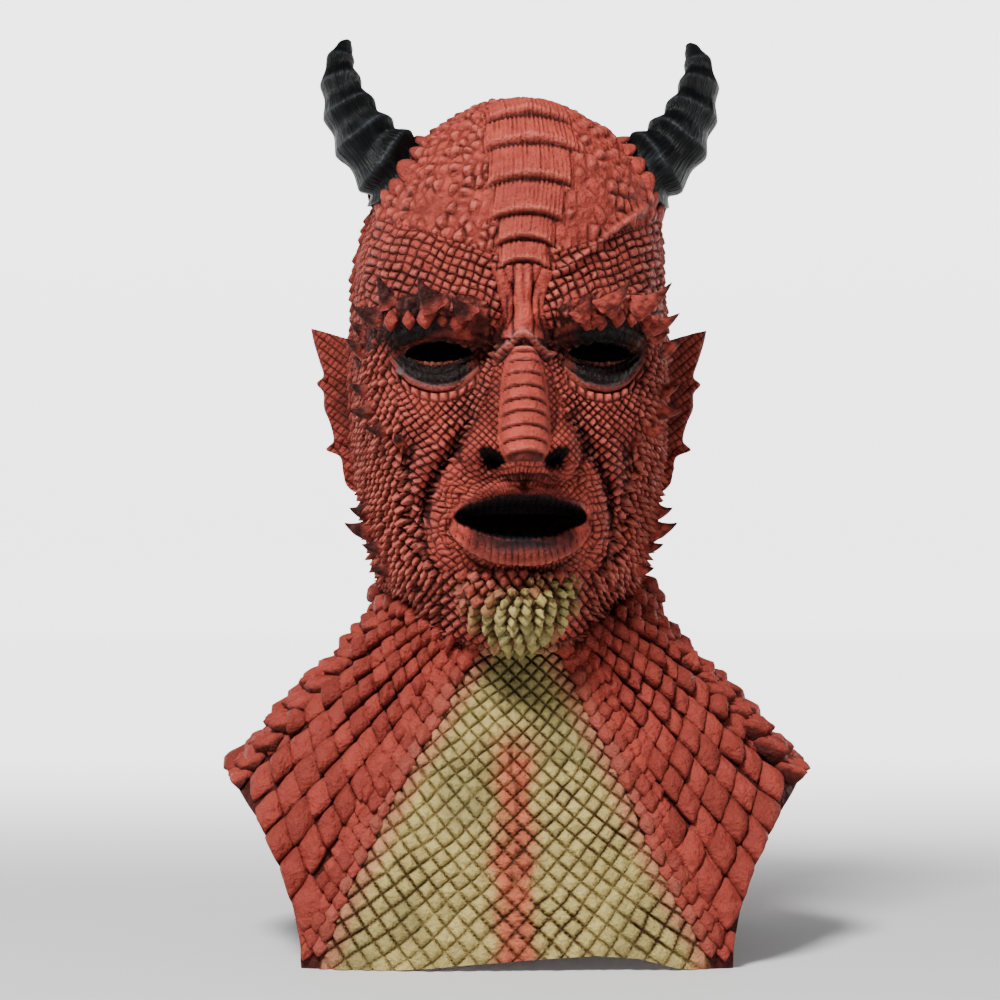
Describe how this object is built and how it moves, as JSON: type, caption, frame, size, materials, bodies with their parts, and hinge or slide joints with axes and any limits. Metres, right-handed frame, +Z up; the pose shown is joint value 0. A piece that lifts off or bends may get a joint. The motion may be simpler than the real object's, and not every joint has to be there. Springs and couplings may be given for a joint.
{
  "type": "horned devil full-head mask",
  "caption": "Hollow pull-over latex mask of a horned, scaled red devil, with spiked brows, pointed ears, open mouth, neck and a bib over chest and shoulders.",
  "frame": {"origin": "centre of the base: on the level of the bib's cut edge, under the middle of the whole mask", "axes": "+Z up from the cut edge to the crown, -Y the way the face looks, +X the mask's own left hand side, which is the right of the picture"},
  "size_m": [0.2862, 0.2226, 0.4578],
  "materials": {
    "latex": "painted latex, low sheen, red with dark wash and a yellow chest",
    "horn": "black cast horn, satin, ribbed"
  },
  "bodies": {
    "root": {"mask_skin": "latex", "horn_left": "horn", "horn_right": "horn"}
  },
  "joints": []
}
